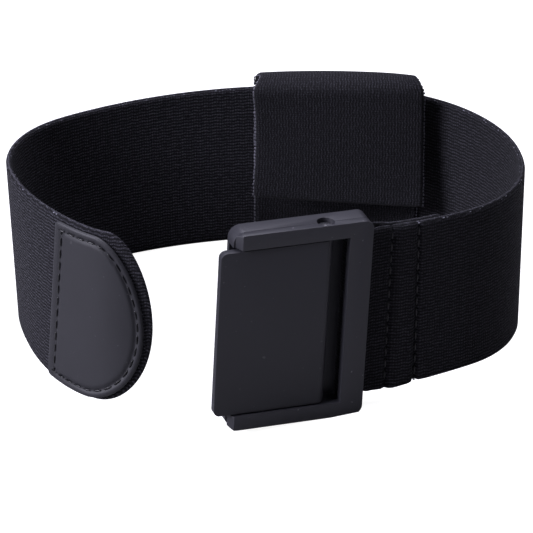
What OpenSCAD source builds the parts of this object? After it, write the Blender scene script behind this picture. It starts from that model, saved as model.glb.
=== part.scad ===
// Elastic travel band with a flat lever buckle, a leather-look tongue and an inside pocket.
// The band stands on its lower edge. The origin is in the middle of the loop, level with that edge.

/* [Elastic web] */
// Width of the web
band_w = 40; // [35:1:50]
// Thickness of the web
band_t = 1.3; // [1:0.1:1.6]
// Gap left between two layers that lie together
lay_gap = 0.06; // [0.04:0.01:0.12]

/* [Plan of the loop] */
// Direction in which the web leaves the buckle, from the X axis
exit_dir = 18; // [12:1:24]
// Bend radius of the run beside the buckle
exit_r = 126; // [90:1:200]
// Turn of the run beside the buckle, in degrees
exit_a = 10.7; // [8:0.1:14]
// Bend radius of the right-hand end
right_r = 24; // [18:1:32]
// Turn of the right-hand end, in degrees
right_a = 61.5; // [50:0.5:70]
// Bend radius of the right side
side_r = 39.5; // [34:0.5:48]
// Turn of the right side, in degrees
side_a = 79.3; // [70:0.1:85]
// Bend radius of the back
back_r = 100; // [85:1:120]
// Turn of the back, in degrees
back_a = 44.4; // [38:0.1:50]
// Bend radius of the left-hand end
left_r = 23.6; // [18:0.1:30]
// Turn of the left-hand end, in degrees
left_a = 70.3; // [60:0.1:80]
// Bend radius of the free run towards the tongue
free_r = 58.8; // [48:0.1:80]
// Turn of the free run, in degrees
free_a = 32.6; // [26:0.1:40]
// Bend radius of the curled tongue
curl_r = 19.2; // [15:0.1:30]
// Turn of the curled tongue, in degrees
curl_a = 49; // [35:1:55]

/* [Sewn fold at the buckle] */
// Distance from the flexing line to the first stitch row
row_1_at = 3.3; // [2.6:0.1:4]
// Distance between the two stitch rows
row_step = 6.9; // [5:0.1:9]
// Length of web turned back past the second row
fold_tail = 5.6; // [3:0.1:8]
// How far the two layers part at the flexing line
fold_spread = 1.1; // [0.9:0.1:1.4]
// Distance from one stitch to the next
stitch_pitch = 2.8; // [2.2:0.1:3.4]
// Length of one stitch
stitch_l = 1.9; // [1.5:0.1:2.1]
// Thickness of the thread
thread_d = 0.5; // [0.4:0.05:0.6]

/* [Tongue] */
// Length of the leather-look facing, along the web
patch_l = 25; // [22:0.5:28]
// Thickness of the facing
patch_t = 1; // [0.8:0.1:1.3]
// Corner radius of the web's cut end
tongue_corner = 13; // [10:0.5:18]
// Width of web left bare past the tip of the facing
patch_margin = 1.9; // [1.2:0.1:2.5]
// Width of web left bare above the facing
patch_top = 1.2; // [0.8:0.1:2.5]
// Width of web left bare below the facing
patch_low = 0.3; // [0.2:0.1:1.5]
// Distance from the facing's edge to its stitches
patch_seam = 1.7; // [1.5:0.1:2.6]
// Lean of the facing's straight edge, its top towards the loop, in degrees
patch_lean = 1; // [0:0.5:4]

/* [Pocket] */
// Width of the pocket strip
pouch_w = 40; // [34:1:44]
// Distance along the web from the flexing line to the pocket strip
pouch_at = 93; // [90:1:96]
// Height of the fold above the web's upper edge
fold_rise = 6.5; // [5:0.1:8]
// Length of the flap below the fold
flap_l = 26.8; // [24:0.1:33]
// Distance of the flap's middle plane from the origin, along Y
flap_y = 28.6; // [28:0.1:29.2]
// Turn of the flap about the vertical, in degrees
flap_turn = -2; // [-4:0.5:0]
// Width of the hook and loop pads
pad_w = 24; // [18:1:28]
// Height of the hook and loop pads
pad_h = 12; // [8:1:14]
// Thickness of one pad
pad_t = 1.2; // [0.9:0.1:1.3]

/* [Buckle frame] */
// Width of the frame from its left end to the strap bar's outer edge
frame_w = 32.4; // [31:0.1:36]
// Height the frame stands out past each edge of the web
frame_over = 4.7; // [4.2:0.1:5.5]
// Height of the upper and lower rails
rail_h = 3.7; // [3.3:0.1:4.2]
// Thickness of the front half
front_t = 2; // [1.8:0.1:2.4]
// Thickness of the rear half
rear_t = 4.1; // [4:0.1:4.6]
// Width of the front half's right-hand bar
bar_w = 5.5; // [5:0.1:6.5]
// Corner radius of the frame
frame_r = 2.2; // [1.5:0.1:2.8]
// Corner radius of the rear half's left end
rear_r = 2.8; // [2:0.1:3.6]
// Length of the slope at the front half's left end
nose = 1.5; // [1:0.1:2.5]
// Thickness of the rear half's floor, against which the web is clamped
floor_t = 1.3; // [1.1:0.1:1.4]
// Width of the rear half's strap bar
strap_bar_w = 3.2; // [2.8:0.1:3.5]
// Thickness of the rear half's strap bar
strap_bar_t = 1.9; // [1.6:0.1:2]
// Gap between the web and the bars that it passes
bar_gap = 0.15; // [0.1:0.05:0.25]
// Distance the strap bar lies inside the frame's right-hand end
bar_inset = 0.4; // [0.2:0.1:0.8]

/* [Clamp lever] */
// Width of the lever plate
lever_w = 26.8; // [26:0.1:28]
// Thickness of the lever plate
lever_t = 1.8; // [1.6:0.1:2]
// Depth of the lever's face behind the frame's face
lever_inset = 0.45; // [0.3:0.05:0.6]
// Gap between the lever and each rail
lever_gap = 0.4; // [0.3:0.05:0.6]
// Width of the slot between the lever and the right-hand bar
slot_w = 3.4; // [3:0.1:4.2]
// Distance from the pivot to the lever's right-hand edge
heel = 1.9; // [1.8:0.1:2.2]
// Diameter of the pivot pin
pin_d = 2; // [1.8:0.1:2.2]
// Radial play of the lever on its pin
pin_play = 0.05; // [0.03:0.01:0.08]
// Diameter of the access hole over each end of the pin
hole_d = 4; // [3.6:0.1:4.2]
// Depth of the access hole
hole_depth = 1.2; // [0.8:0.1:1.6]
// Number of grip teeth on the lever's cam
teeth = 17; // [11:2:21]

/* [Stance of the buckle] */
// Middle of the buckle, along X
buckle_x = 9.6; // [8:0.1:11]
// Middle of the buckle, along Y
buckle_y = -37.7; // [-39:0.1:-36]
// Turn of the buckle about the vertical, in degrees
buckle_turn = 20; // [17:1:23]
// Sideways lean of the buckle, in degrees
buckle_lean = 3; // [0:0.5:4]
// Distance from the strap bar's outer edge to the flexing line
flex_at = 2.5; // [2.2:0.1:3.2]
// Half of the gap in the web at each flexing line
flex_gap = 0.4; // [0.35:0.05:0.6]

/* [Hidden] */

$fn = 48;
step = 2.5;
eps = 0.01;

// Buckle, in its own frame: X to the right, Y to the inside of the loop, Z up, from its middle
frame_h = band_w + 2 * frame_over;
front_y = -(front_t + rear_t) / 2;
seam_y = front_y + front_t;
rear_y = seam_y + rear_t;
right_x = frame_w * 0.4;
left_x = right_x - frame_w;
inner_h = frame_h - 2 * rail_h;
lever_right = right_x - bar_w - slot_w;
pivot_x = lever_right - heel;
barrel_r = heel - 0.1;
pivot_y = front_y + lever_inset + barrel_r;
lever_h = inner_h - 2 * lever_gap;
floor_y = rear_y - floor_t;
cam_r = floor_y - pivot_y - 0.25;
bore_r = pin_d / 2 + pin_play;
bar_right = right_x - bar_inset;
bar_left = bar_right - strap_bar_w;
loop_front_y = seam_y + bar_gap;
bar_mid_y = loop_front_y + band_t + bar_gap + strap_bar_t / 2;
loop_back_y = bar_mid_y + strap_bar_t / 2 + bar_gap;
flex_x = right_x + flex_at;
// The floor reaches from the left end to the loop round the strap bar
floor_right = bar_left - 2 * bar_gap - band_t;

// Plan of the web: its middle surface, as stretches of [radius, turn]
stretches = [
    [exit_r, exit_a], [right_r, right_a], [side_r, side_a], [back_r, back_a],
    [left_r, left_a], [free_r, free_a], [curl_r, curl_a]
];
function run(i) = stretches[i][0] * stretches[i][1] * PI / 180;
function run_to(i) = i < 0 ? 0 : run(i) + run_to(i - 1);
web_l = run_to(len(stretches) - 1);
tail_at = run_to(4);

function turned(v, a) = [v[0] * cos(a) - v[1] * sin(a), v[0] * sin(a) + v[1] * cos(a)];
function from_buckle(v) = [buckle_x, buckle_y] + turned(v, buckle_turn);
web_start = from_buckle([flex_x, loop_front_y + band_t / 2]);

// Place on the web's middle surface: [point, direction] at a distance along it
function left_of(a) = [-sin(a), cos(a)];
function along(s, i = 0, p = web_start, a = exit_dir) =
    let (r = stretches[i][0], centre = p + r * left_of(a))
    s <= run(i) || i == len(stretches) - 1
        ? [centre - r * left_of(a + s / r * 180 / PI), a + s / r * 180 / PI]
        : along(s - run(i), i + 1, centre - r * left_of(a + stretches[i][1]), a + stretches[i][1]);
// The same place, moved outwards from the loop by d
function beside(s, d) = let (q = along(s)) q[0] - d * left_of(q[1]);

// How far the turned-back layer stands off the web near the buckle
function parted(s) = lay_gap + fold_spread * max(0, 1 - s / row_1_at);

// Pocket: the strip's fold and its flap
pouch_end = pouch_at + pouch_w;
pouch_mid = beside(pouch_at + pouch_w / 2, 0);
strip_y = pouch_mid[1] - band_t - lay_gap;
fold_r = (strip_y - flap_y) / 2;
fold_y = (strip_y + flap_y) / 2;
fold_z = band_w + fold_rise - fold_r - band_t / 2;
flap_top = fold_z - flex_gap;
flap_bottom = flap_top - flap_l;
flap_x = pouch_mid[0];
pad_z = flap_bottom + 2 + pad_h / 2;

// Tongue: the end of the web, cut round
patch_r = tongue_corner - patch_margin / 2;
patch_z0 = -band_w / 2 + patch_low;
patch_z1 = band_w / 2 - patch_top;
patch_from = web_l - patch_l - patch_margin;
tongue_mid = along(web_l - patch_l / 2);

// A band of even thickness along the web, between offsets d0 and d1, from height z0 to z1
module strip(s0, s1, d0, d1, z0, z1) {
    n = max(2, ceil((s1 - s0) / step));
    outer = [for (i = [0:n]) beside(s0 + (s1 - s0) * i / n, d1)];
    inner = [for (i = [n:-1:0]) beside(s0 + (s1 - s0) * i / n, d0)];
    translate([0, 0, z0])
        linear_extrude(z1 - z0)
            polygon(concat(outer, inner));
}

module in_buckle() {
    translate([buckle_x, buckle_y, band_w / 2])
        rotate([0, 0, buckle_turn])
            rotate([0, buckle_lean, 0])
                children();
}

module in_pocket() {
    translate([flap_x, flap_y, 0])
        rotate([0, 0, flap_turn])
            children();
}

// Faces the tongue squarely: X along the web to its tip, Y outwards, Z up
module at_tongue() {
    translate([tongue_mid[0][0], tongue_mid[0][1], band_w / 2])
        rotate([0, 0, tongue_mid[1]])
            children();
}

// Everything to the buckle's side of the flexing line, moved by d
module buckle_side(d) {
    in_buckle()
        translate([flex_x + d - 20, -15, -band_w])
            cube([20, 30, 2 * band_w]);
}

// Round-cornered end as a prism that cuts the web: tip at x1, bottom at z0, top at z1, corners r
module tongue_prism(x1, z0, z1, r) {
    length = 60;
    at_tongue()
        rotate([90, 0, 0])
            translate([0, 0, -20])
                linear_extrude(40)
                    union() {
                        for (z = [z0 + r, z1 - r])
                            translate([x1 - r, z])
                                circle(r);
                        translate([x1 - length, z0])
                            square([length - r, z1 - z0]);
                        translate([x1 - 2 * r, z0 + r])
                            square([2 * r, z1 - z0 - 2 * r]);
                    }
}

// One stitch lying on the web's face at station s, offset d, height z, turned by a in that face
module stitch(s, d, z, a) {
    q = along(s);
    p = beside(s, d);
    translate([p[0], p[1], z])
        rotate([0, 0, q[1]])
            rotate([0, a, 0])
                translate([0, 0, -stitch_l / 2])
                    cylinder(d = thread_d, h = stitch_l, $fn = 8);
}

module elastic_band() {
    color("#1b1b1e")
        difference() {
            strip(-2, tail_at - flex_gap, -band_t / 2, band_t / 2, 0, band_w);
            buckle_side(flex_gap);
        }
}

module folded_end() {
    last = row_1_at + row_step + fold_tail;
    n = 12;
    near = [for (i = [-2:n]) let (s = last * i / n) beside(s, -band_t / 2 - parted(s))];
    far = [for (i = [n:-1:-2]) let (s = last * i / n) beside(s, -band_t * 1.5 - parted(s))];
    color("#1b1b1e")
        difference() {
            linear_extrude(band_w)
                polygon(concat(near, far));
            buckle_side(flex_gap);
        }
}

module fold_stitches() {
    rows = [row_1_at, row_1_at + row_step];
    count = floor((band_w - 3) / stitch_pitch);
    color("#0e0e10")
        for (s = rows, i = [0:count - 1]) {
            z = band_w / 2 + (i - (count - 1) / 2) * stitch_pitch;
            slant = (z - band_w / 2) * tan(buckle_lean);
            stitch(s + slant, band_t / 2 + thread_d / 2 + lay_gap, z, buckle_lean);
        }
}

module pocket_back() {
    color("#202024")
        union() {
            strip(pouch_at, pouch_end, -1.5 * band_t - lay_gap, -band_t / 2 - lay_gap, 0, fold_z + 0.6);
            in_pocket()
                translate([-pouch_w / 2, fold_r, fold_z])
                    rotate([90, 0, 90])
                        linear_extrude(pouch_w)
                            difference() {
                                circle(fold_r + band_t / 2);
                                circle(fold_r - band_t / 2);
                                translate([-2 * fold_r, -4 * fold_r])
                                    square([4 * fold_r, 4 * fold_r]);
                            }
        }
}

// A rectangular seam on the outer face of the web, holding the pocket strip
module pocket_stitches() {
    s0 = pouch_at + 4;
    across = floor((pouch_w - 8) / stitch_pitch);
    up = floor(20 / stitch_pitch);
    d = band_t / 2 + thread_d / 2 + lay_gap;
    z0 = 7;
    color("#0e0e10") {
        for (i = [0:across - 1], j = [0, up])
            stitch(s0 + (i + 0.5) * stitch_pitch, d, z0 + j * stitch_pitch, 90);
        for (i = [0:up - 1], j = [0, across])
            stitch(s0 + j * stitch_pitch, d, z0 + (i + 0.5) * stitch_pitch, 0);
    }
}

module hook_pad() {
    mid = (pouch_at + pouch_end) / 2;
    back = -1.5 * band_t - 2 * lay_gap;
    color("#26262a")
        strip(mid - pad_w / 2, mid + pad_w / 2, back - pad_t, back, pad_z - pad_h / 2, pad_z + pad_h / 2);
}

module pocket_flap() {
    color("#202024")
        in_pocket()
            translate([-pouch_w / 2, -band_t / 2, flap_bottom])
                cube([pouch_w, band_t, flap_l]);
}

module loop_pad() {
    color("#26262a")
        in_pocket()
            translate([-pad_w / 2, band_t / 2 + lay_gap, pad_z - pad_h / 2])
                cube([pad_w, pad_t, pad_h]);
}

module band_tail() {
    color("#1b1b1e")
        intersection() {
            strip(tail_at + flex_gap, web_l, -band_t / 2, band_t / 2, 0, band_w);
            tongue_prism(patch_l / 2, -band_w / 2, band_w / 2, tongue_corner);
        }
}

module tongue_facing() {
    d = band_t / 2 + lay_gap;
    color("#303034")
        difference() {
            intersection() {
                strip(patch_from - 6, web_l, d, d + patch_t, 0, band_w);
                tongue_prism(patch_l / 2 - patch_margin, patch_z0, patch_z1, patch_r);
            }
            at_tongue()
                rotate([0, -patch_lean, 0])
                    translate([-patch_l / 2 - 60, -30, -band_w])
                        cube([60, 60, 2 * band_w]);
        }
}

// Place on a round-cornered outline, as [x, z, turn], at a distance along it from its lower root
function seam_at(u, x0, x1, z0, z1, r) =
    let (flat = x1 - r - x0, arc = PI * r / 2, face = z1 - z0 - 2 * r)
    let (q = u - flat, t = q - arc - face, a = q / r * 180 / PI, b = t / r * 180 / PI)
    q < 0 ? [x0 + u, z0, 90]
    : q < arc ? [x1 - r + r * sin(a), z0 + r - r * cos(a), 90 - a]
    : t < 0 ? [x1, z0 + r + q - arc, 0]
    : t < arc ? [x1 - r + r * cos(b), z1 - r + r * sin(b), -b]
    : [x1 - r - (t - arc), z1, 90];

// Stitches that follow the facing's outline, a seam's width inside its edge
module tongue_stitches() {
    x0 = -patch_l / 2 + patch_seam;
    x1 = patch_l / 2 - patch_margin - patch_seam;
    z0 = patch_z0 + patch_seam;
    z1 = patch_z1 - patch_seam;
    r = patch_r - patch_seam;
    d = band_t / 2 + patch_t + thread_d / 2 + 2 * lay_gap;
    s_mid = web_l - patch_l / 2;
    around = 2 * (x1 - r - x0) + PI * r + z1 - z0 - 2 * r;
    round_n = floor(around / stitch_pitch);
    edge_n = floor((z1 - z0) / stitch_pitch) - 1;
    color("#0e0e10") {
        for (i = [0:round_n - 1]) {
            q = seam_at((i + 0.5) * around / round_n, x0, x1, z0, z1, r);
            stitch(s_mid + q[0], d, band_w / 2 + q[1], q[2]);
        }
        for (i = [0:edge_n - 1]) {
            z = (i - (edge_n - 1) / 2) * stitch_pitch;
            x = x0 - (z + (z0 + z1) / 2) * tan(patch_lean);
            stitch(s_mid + x, d, band_w / 2 + z + (z0 + z1) / 2, -patch_lean);
        }
    }
}

// A flat plate of the frame's outline from y0 to y1, its left corners rounded by r and its right by frame_r
module frame_plate(y0, y1, r) {
    half = frame_h / 2;
    wide = max(r, frame_r);
    translate([0, y1, 0])
        rotate([90, 0, 0])
            linear_extrude(y1 - y0)
                union() {
                    for (side = [-1, 1]) {
                        translate([left_x + r, side * (half - r)])
                            circle(r);
                        translate([right_x - frame_r, side * (half - frame_r)])
                            circle(frame_r);
                    }
                    translate([left_x + r, -half])
                        square([frame_w - r - frame_r, 2 * half]);
                    translate([left_x, -half + wide])
                        square([frame_w, 2 * half - 2 * wide]);
                    translate([right_x - frame_w / 2, -half + frame_r])
                        square([frame_w / 2, 2 * half - 2 * frame_r]);
                }
}

module pin_holes() {
    translate([pivot_x, pivot_y, 0]) {
        cylinder(d = pin_d, h = frame_h + 2, center = true);
        for (side = [-1, 1])
            translate([0, 0, side * (frame_h / 2 - hole_depth / 2 + 0.5)])
                cylinder(d = hole_d, h = hole_depth + 1, center = true);
    }
}

module buckle_rear() {
    bar_h = inner_h + 2 * eps;
    color("#37373a")
        in_buckle()
            union() {
                difference() {
                    frame_plate(seam_y + lay_gap, rear_y, rear_r);
                    // Channel for the web, above the floor
                    translate([left_x - 1, seam_y - 1, -inner_h / 2])
                        cube([floor_right - left_x + 1 + eps, floor_y - seam_y + 1, inner_h]);
                    // Window for the turned-back loop, open to the right of the floor
                    translate([floor_right, seam_y - 1, -inner_h / 2])
                        cube([frame_w, rear_t + 2, inner_h]);
                    pin_holes();
                }
                // Strap bar between the rails, with a round inner edge for the loop
                translate([bar_left + strap_bar_t / 2, bar_mid_y - strap_bar_t / 2, -bar_h / 2])
                    cube([strap_bar_w - strap_bar_t / 2, strap_bar_t, bar_h]);
                translate([bar_left + strap_bar_t / 2, bar_mid_y, 0])
                    cylinder(d = strap_bar_t, h = bar_h, center = true);
            }
}

module buckle_front() {
    nose_in = 0.4;
    color("#37373a")
        in_buckle()
            difference() {
                frame_plate(front_y, seam_y, frame_r);
                translate([left_x - 1, front_y - 1, -inner_h / 2])
                    cube([frame_w - bar_w + 1, front_t + 2, inner_h]);
                // Slope at the left end, from the seam to the face
                translate([0, 0, -frame_h])
                    linear_extrude(2 * frame_h)
                        polygon([
                            [left_x + nose_in, seam_y + 1], [left_x + nose_in, seam_y],
                            [left_x + nose, front_y], [left_x + nose, front_y - 1],
                            [left_x - 1, front_y - 1], [left_x - 1, seam_y + 1]
                        ]);
                pin_holes();
            }
}

module pivot_pin() {
    pin_h = frame_h - 2 * hole_depth;
    color("#4a4a4d")
        in_buckle()
            translate([pivot_x, pivot_y, 0])
                rotate_extrude()
                    polygon([
                        [0, -pin_h / 2 - 0.5], [pin_d * 0.3, -pin_h / 2 - 0.35], [pin_d / 2, -pin_h / 2],
                        [pin_d / 2, pin_h / 2], [pin_d * 0.3, pin_h / 2 + 0.35], [0, pin_h / 2 + 0.5]
                    ]);
}

// The web's turned-back loop round the strap bar
module end_loop() {
    r_in = (loop_back_y - loop_front_y - band_t) / 2;
    r_out = r_in + band_t;
    mid_y = loop_front_y + r_out;
    turn_x = bar_left - bar_gap + r_in;
    leg_end = flex_x - flex_gap;
    back_drop = loop_back_y - (loop_front_y + band_t + lay_gap + fold_spread);
    color("#1b1b1e")
        in_buckle()
            translate([0, 0, -band_w / 2])
                linear_extrude(band_w)
                    union() {
                        difference() {
                            translate([turn_x, mid_y])
                                circle(r_out);
                            translate([turn_x, mid_y])
                                circle(r_in);
                            translate([turn_x, mid_y - 2 * r_out])
                                square([4 * r_out, 4 * r_out]);
                        }
                        translate([turn_x - eps, loop_front_y])
                            square([leg_end - turn_x + eps, band_t]);
                        polygon([
                            [turn_x - eps, loop_back_y], [bar_right, loop_back_y],
                            [leg_end, loop_back_y - back_drop], [leg_end, loop_back_y - back_drop + band_t],
                            [bar_right, loop_back_y + band_t], [turn_x - eps, loop_back_y + band_t]
                        ]);
                    }
}

module clamp_lever() {
    left = lever_right - lever_w;
    plate_y = front_y + lever_inset;
    corner = 1.5;
    color("#3a3a3d")
        in_buckle()
            difference() {
                union() {
                    translate([0, plate_y + lever_t, 0])
                        rotate([90, 0, 0])
                            linear_extrude(lever_t)
                                union() {
                                    for (side = [-1, 1])
                                        translate([left + corner, side * (lever_h / 2 - corner)])
                                            circle(corner);
                                    translate([left, -lever_h / 2 + corner])
                                        square([corner * 2, lever_h - 2 * corner]);
                                    translate([left + corner, -lever_h / 2])
                                        square([pivot_x - left - corner, lever_h]);
                                }
                    translate([pivot_x, pivot_y, 0])
                        cylinder(r = barrel_r, h = lever_h, center = true);
                    // Grip teeth on the cam behind the pivot
                    for (i = [0:teeth - 1])
                        translate([pivot_x, pivot_y, (i - (teeth - 1) / 2) * (lever_h - 3) / (teeth - 1)])
                            rotate([0, 0, 100])
                                translate([0, -0.45, -0.5])
                                    cube([cam_r, 0.9, 1]);
                }
                translate([pivot_x, pivot_y, 0])
                    cylinder(r = bore_r, h = lever_h + 2, center = true);
            }
}

elastic_band();
folded_end();
fold_stitches();
pocket_back();
pocket_stitches();
hook_pad();
pocket_flap();
loop_pad();
band_tail();
tongue_facing();
tongue_stitches();
buckle_rear();
buckle_front();
pivot_pin();
end_loop();
clamp_lever();
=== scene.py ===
import bpy
import bmesh
import math
import numpy as np
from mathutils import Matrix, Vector


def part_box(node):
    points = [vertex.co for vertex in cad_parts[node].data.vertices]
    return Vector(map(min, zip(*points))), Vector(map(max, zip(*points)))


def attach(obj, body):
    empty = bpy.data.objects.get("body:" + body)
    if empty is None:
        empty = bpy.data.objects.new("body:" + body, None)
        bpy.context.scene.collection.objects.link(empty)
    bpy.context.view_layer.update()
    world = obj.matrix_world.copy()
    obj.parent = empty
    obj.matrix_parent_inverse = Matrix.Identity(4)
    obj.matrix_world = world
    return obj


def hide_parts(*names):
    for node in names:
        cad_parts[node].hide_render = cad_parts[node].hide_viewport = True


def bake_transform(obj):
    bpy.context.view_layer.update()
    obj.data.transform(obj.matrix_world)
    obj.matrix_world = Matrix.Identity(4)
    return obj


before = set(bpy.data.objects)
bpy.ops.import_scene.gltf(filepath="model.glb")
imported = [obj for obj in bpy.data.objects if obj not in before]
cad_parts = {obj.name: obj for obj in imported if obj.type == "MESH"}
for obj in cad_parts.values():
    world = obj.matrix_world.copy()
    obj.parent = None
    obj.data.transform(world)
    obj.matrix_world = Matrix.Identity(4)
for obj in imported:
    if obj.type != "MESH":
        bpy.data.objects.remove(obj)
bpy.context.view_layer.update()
print("frame loaded:", len(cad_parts), "nodes")

mm = 0.001

web = {
    "width": 40 * mm,
    "thickness": 1.3 * mm,
    "stretches": [(126, 10.7), (24, 61.5), (39.5, 79.3), (100, 44.4), (23.6, 70.3), (58.8, 32.6), (19.2, 49)],
    "exitDirection": 18,
    "start": (24.213, -32.647),
    "lead": 4 * mm,  # length worked out before the flexing line
    "step": 0.25 * mm,
    "easing": 3 * mm,  # length over which one bend eases into the next
    "rise": 0.3 * mm,
}
# How far the web slopes along its run, and how far its upper edge flares outwards, in degrees
slopeKeys = [(0, -3.4), (15, 0), (200, 0), (222, -1.6), (240, -0.8), (262, 3)]
flareKeys = [(0, -0.8), (30, -0.4), (60, 1.5), (180, 0.8), (210, 3.6), (235, -5), (262, -13)]
buckleSeat = {"middle": (9.6, -37.7), "turn": 20, "lean": 3}


def smoothStep(a, b, x):
    t = np.clip((np.asarray(x, float) - a) / (b - a), 0, 1)
    return t * t * (3 - 2 * t)


def keyed(keys, s):
    at = np.array([k[0] for k in keys]) * mm
    value = np.array([k[1] for k in keys], float)
    return np.interp(s, at, value)


def softened(values, width, step):
    reach = int(3 * width / step)
    bell = np.exp(-0.5 * (np.arange(-reach, reach + 1) * step / width) ** 2)
    padded = np.pad(values, reach, mode="edge")
    return np.convolve(padded, bell / bell.sum(), "valid")


def layCourse():
    lengths = [r * mm * math.radians(a) for r, a in web["stretches"]]
    total = sum(lengths)
    step = web["step"]
    s = np.arange(-web["lead"], total + 2 * step, step)
    ends = np.cumsum(lengths)
    index = np.minimum(np.searchsorted(ends, s), len(lengths) - 1)
    bend = np.array([1 / (web["stretches"][i][0] * mm) for i in index])
    bend = softened(bend, web["easing"], step)
    slope = softened(np.radians(keyed(slopeKeys, s)), 4 * mm, step)
    flare = softened(np.radians(keyed(flareKeys, s)), 8 * mm, step)
    zero = int(round(web["lead"] / step))
    heading = np.concatenate([[0], np.cumsum((bend[1:] + bend[:-1]) / 2 * step)])
    heading += math.radians(web["exitDirection"]) - heading[zero]
    along = np.stack([np.cos(heading) * np.cos(slope), np.sin(heading) * np.cos(slope), np.sin(slope)], 1)
    middle = np.concatenate([[[0, 0, 0]], np.cumsum((along[1:] + along[:-1]) / 2 * step, 0)])
    x, y = web["start"]
    middle += np.array([x * mm, y * mm, web["width"] / 2 + web["rise"]]) - middle[zero]
    out = np.stack([np.sin(heading), -np.cos(heading), 0 * heading], 1)
    up = np.stack([-np.cos(heading) * np.sin(slope), -np.sin(heading) * np.sin(slope), np.cos(slope)], 1)
    c, d = np.cos(flare)[:, None], np.sin(flare)[:, None]
    return {
        "s": s, "middle": middle, "across": c * up + d * out, "out": c * out - d * up,
        "along": along, "length": total,
    }


course = layCourse()


def onCourse(key, s):
    table = course[key]
    return np.stack([np.interp(s, course["s"], table[:, i]) for i in range(3)], -1)


def webPoint(s, h, d):
    # s along the web, h up from its middle, d outwards from its middle surface
    s, h, d = np.broadcast_arrays(s, h, d)
    return onCourse("middle", s) + onCourse("across", s) * h[..., None] + onCourse("out", s) * d[..., None]


webEnd = course["length"]
print("web laid out:", round(webEnd * 1000, 1), "mm")


def newPiece(name, vertices, faces, uvs=None, smooth=True):
    mesh = bpy.data.meshes.new(name)
    mesh.from_pydata([tuple(v) for v in vertices], [], [tuple(f) for f in faces])
    if uvs is not None:
        layer = mesh.uv_layers.new(name="weaveMap")
        loops = np.zeros(len(mesh.loops), np.int32)
        mesh.loops.foreach_get("vertex_index", loops)
        layer.data.foreach_set("uv", np.asarray(uvs, np.float32)[loops].ravel())
    if smooth:
        mesh.polygons.foreach_set("use_smooth", [True] * len(mesh.polygons))
    mesh.update()
    piece = bpy.data.objects.new(name, mesh)
    bpy.context.scene.collection.objects.link(piece)
    return piece


def gridNormals(grid):
    du = np.gradient(grid, axis=0)
    dv = np.gradient(grid, axis=1)
    n = np.cross(du, dv)
    return n / np.maximum(np.linalg.norm(n, axis=-1, keepdims=True), 1e-12)


def unit(v):
    return v / np.maximum(np.linalg.norm(v, axis=-1, keepdims=True), 1e-12)


def slab(name, grid, thickness, uv, front=None, back=None, edgeSteps=3, edgeBulge=1.0):
    # A closed sheet round a grid of middle points: front and back faces joined by a rounded edge.
    rows, cols = grid.shape[:2]
    n = gridNormals(grid)
    half = thickness / 2
    front = np.zeros((rows, cols)) if front is None else front
    back = np.zeros((rows, cols)) if back is None else back
    faceA = grid + n * (half + front)[..., None]
    faceB = grid - n * (half + back)[..., None]
    vertices = [faceA.reshape(-1, 3), faceB.reshape(-1, 3)]
    uvs = [uv.reshape(-1, 2), uv.reshape(-1, 2)]
    count = rows * cols
    faces = []
    r, c = np.meshgrid(np.arange(rows - 1), np.arange(cols - 1), indexing="ij")
    i = (r * cols + c).ravel()
    faces += np.stack([i, i + cols, i + cols + 1, i + 1], 1).tolist()
    j = i + count
    faces += np.stack([j, j + 1, j + cols + 1, j + cols], 1).tolist()
    ring = [(0, k) for k in range(cols - 1)] + [(k, cols - 1) for k in range(rows - 1)]
    ring += [(rows - 1, k) for k in range(cols - 1, 0, -1)] + [(k, 0) for k in range(rows - 1, 0, -1)]
    ringR = np.array([p[0] for p in ring])
    ringC = np.array([p[1] for p in ring])
    inR = np.clip(ringR, 1, rows - 2)
    inC = np.clip(ringC, 1, cols - 2)
    edge = grid[ringR, ringC]
    tangent = np.roll(edge, -1, 0) - np.roll(edge, 1, 0)
    outward = unit(np.cross(tangent, n[ringR, ringC]))
    if (outward * (edge - grid[inR, inC])).sum() < 0:
        outward = -outward
    top = faceA[ringR, ringC]
    low = faceB[ringR, ringC]
    centre = (top + low) / 2
    arm = (top - low) / 2
    reach = np.linalg.norm(arm, axis=1, keepdims=True) * edgeBulge
    ringUv = uv[ringR, ringC]
    previous = ringR * cols + ringC
    start = 2 * count
    length = len(ring)
    for k in range(1, edgeSteps + 1):
        a = math.pi * k / (edgeSteps + 1)
        vertices.append(centre + arm * math.cos(a) + outward * reach * math.sin(a))
        uvs.append(ringUv + np.array([0.0, thickness * k / (edgeSteps + 1)]))
        current = start + np.arange(length)
        faces += bandFaces(previous, current)
        previous = current
        start += length
    faces += bandFaces(previous, ringR * cols + ringC + count)
    return newPiece(name, np.concatenate(vertices), faces, np.concatenate(uvs))


def bandFaces(a, b):
    return np.stack([a, np.roll(a, -1), np.roll(b, -1), b], 1)[:, ::-1].tolist()


def outwards(piece):
    # Turns the faces to point out of the closed shape
    work = bmesh.new()
    work.from_mesh(piece.data)
    bmesh.ops.remove_doubles(work, verts=work.verts, dist=1e-7)
    bmesh.ops.recalc_face_normals(work, faces=work.faces)
    work.to_mesh(piece.data)
    work.free()
    piece.data.update()
    return piece


def stationList(a, b, step):
    return np.linspace(a, b, max(3, int(math.ceil(abs(b - a) / step)) + 1))


def newGroup(name, inputs, outputs):
    group = bpy.data.node_groups.new(name, "ShaderNodeTree")
    for label, kind, value in inputs:
        socket = group.interface.new_socket(name=label, in_out="INPUT", socket_type=kind)
        if value is not None:
            socket.default_value = value
    for label, kind in outputs:
        group.interface.new_socket(name=label, in_out="OUTPUT", socket_type=kind)
    return group, group.nodes.new("NodeGroupInput"), group.nodes.new("NodeGroupOutput")


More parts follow.
